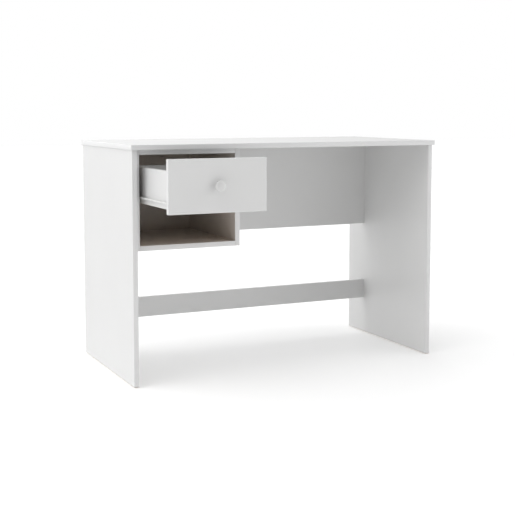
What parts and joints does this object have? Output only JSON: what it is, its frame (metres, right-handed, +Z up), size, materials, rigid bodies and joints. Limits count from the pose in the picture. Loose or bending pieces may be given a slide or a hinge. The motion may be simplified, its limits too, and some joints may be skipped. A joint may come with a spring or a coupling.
{
  "type": "writing desk with drawer",
  "caption": "White panel-leg writing desk with a modesty panel, a low back rail and a small open cabinet that holds a drawer on roller runners, shown pulled out.",
  "frame": {"origin": "on the floor, under the middle of the whole object's box with the drawer standing open as it is stored", "axes": "+Z up, -Y out of the desk's front, where the sitter is and where the drawer opens, +X to the sitter's right, so the cabinet is at -X"},
  "size_m": [1.1, 0.774, 0.752],
  "materials": {
    "white_laminate": "white melamine-faced particleboard, fine satin texture",
    "edging": "white edging strip, satin, rounded outer edges",
    "white_hardboard": "white-lacquered hardboard",
    "knob_plastic": "white, semi-gloss",
    "glide_plastic": "white moulded plastic",
    "cap_plastic": "white moulded plastic",
    "roller_nylon": "white nylon",
    "runner_steel": "white powder coat",
    "dowel_beech": "bare beech with a fluted surface",
    "cam_zinc": "bare zinc die casting",
    "fitting_steel": "bright zinc plated"
  },
  "bodies": {
    "desk": {"desk_top": "white_laminate", "desk_top_edge_bands": "edging", "left_side_panel": "white_laminate", "right_side_panel": "white_laminate", "side_panel_edge_bands": "edging", "modesty_panel": "white_laminate", "stretcher_rail": "white_laminate", "rail_edge_bands": "edging", "cabinet_left_side": "white_laminate", "cabinet_right_side": "white_laminate", "cabinet_top_board": "white_laminate", "cabinet_bottom_board": "white_laminate", "cabinet_edge_bands": "edging", "glides": "glide_plastic", "glide_nails": "fitting_steel", "cam_locks": "cam_zinc", "cam_bolts": "fitting_steel", "cam_covers": "cap_plastic", "wood_dowels": "dowel_beech", "cabinet_confirmats": "fitting_steel", "confirmat_caps": "cap_plastic", "cabinet_fixing_screws": "fitting_steel", "cabinet_runner_left": "runner_steel", "cabinet_runner_right": "runner_steel", "cabinet_runner_screws": "fitting_steel", "front_roller_pins": "fitting_steel"},
    "drawer": {"drawer_front": "white_laminate", "drawer_front_edge_bands": "edging", "drawer_left_side": "white_laminate", "drawer_right_side": "white_laminate", "drawer_back": "white_laminate", "drawer_box_edge_bands": "edging", "drawer_bottom": "white_hardboard", "drawer_runner_left": "runner_steel", "drawer_runner_right": "runner_steel", "drawer_runner_screws": "fitting_steel", "rear_roller_pins": "fitting_steel", "drawer_cam_locks": "cam_zinc", "drawer_cam_bolts": "fitting_steel", "drawer_cam_covers": "cap_plastic", "drawer_dowels": "dowel_beech", "drawer_confirmats": "fitting_steel", "knob": "knob_plastic", "knob_screw": "fitting_steel"},
    "front_roller_left_body": {"front_roller_left": "roller_nylon"},
    "front_roller_right_body": {"front_roller_right": "roller_nylon"},
    "rear_roller_left_body": {"rear_roller_left": "roller_nylon"},
    "rear_roller_right_body": {"rear_roller_right": "roller_nylon"}
  },
  "joints": [
    {"name": "drawer_slide", "type": "slide", "parent": "desk", "child": "drawer", "axis": [0, -1, 0], "range_m": [-0.242, 0.018]},
    {"name": "front_roller_left_turn", "type": "hinge", "parent": "desk", "child": "front_roller_left_body", "pos_m": [-0.5056, -0.089, 0.5805], "axis": [1, 0, 0], "continuous": true},
    {"name": "rear_roller_left_turn", "type": "hinge", "parent": "drawer", "child": "rear_roller_left_body", "pos_m": [-0.5056, -0.011, 0.58005], "axis": [1, 0, 0], "continuous": true},
    {"name": "front_roller_right_turn", "type": "hinge", "parent": "desk", "child": "front_roller_right_body", "pos_m": [-0.1984, -0.089, 0.5805], "axis": [1, 0, 0], "continuous": true},
    {"name": "rear_roller_right_turn", "type": "hinge", "parent": "drawer", "child": "rear_roller_right_body", "pos_m": [-0.1984, -0.011, 0.58005], "axis": [1, 0, 0], "continuous": true}
  ],
  "couplings": [
    {"joint": "front_roller_left_turn", "follows": "drawer_slide", "rad_per_m": 111.11},
    {"joint": "rear_roller_left_turn", "follows": "drawer_slide", "rad_per_m": 111.11},
    {"joint": "front_roller_right_turn", "follows": "drawer_slide", "rad_per_m": 111.11},
    {"joint": "rear_roller_right_turn", "follows": "drawer_slide", "rad_per_m": 111.11}
  ]
}
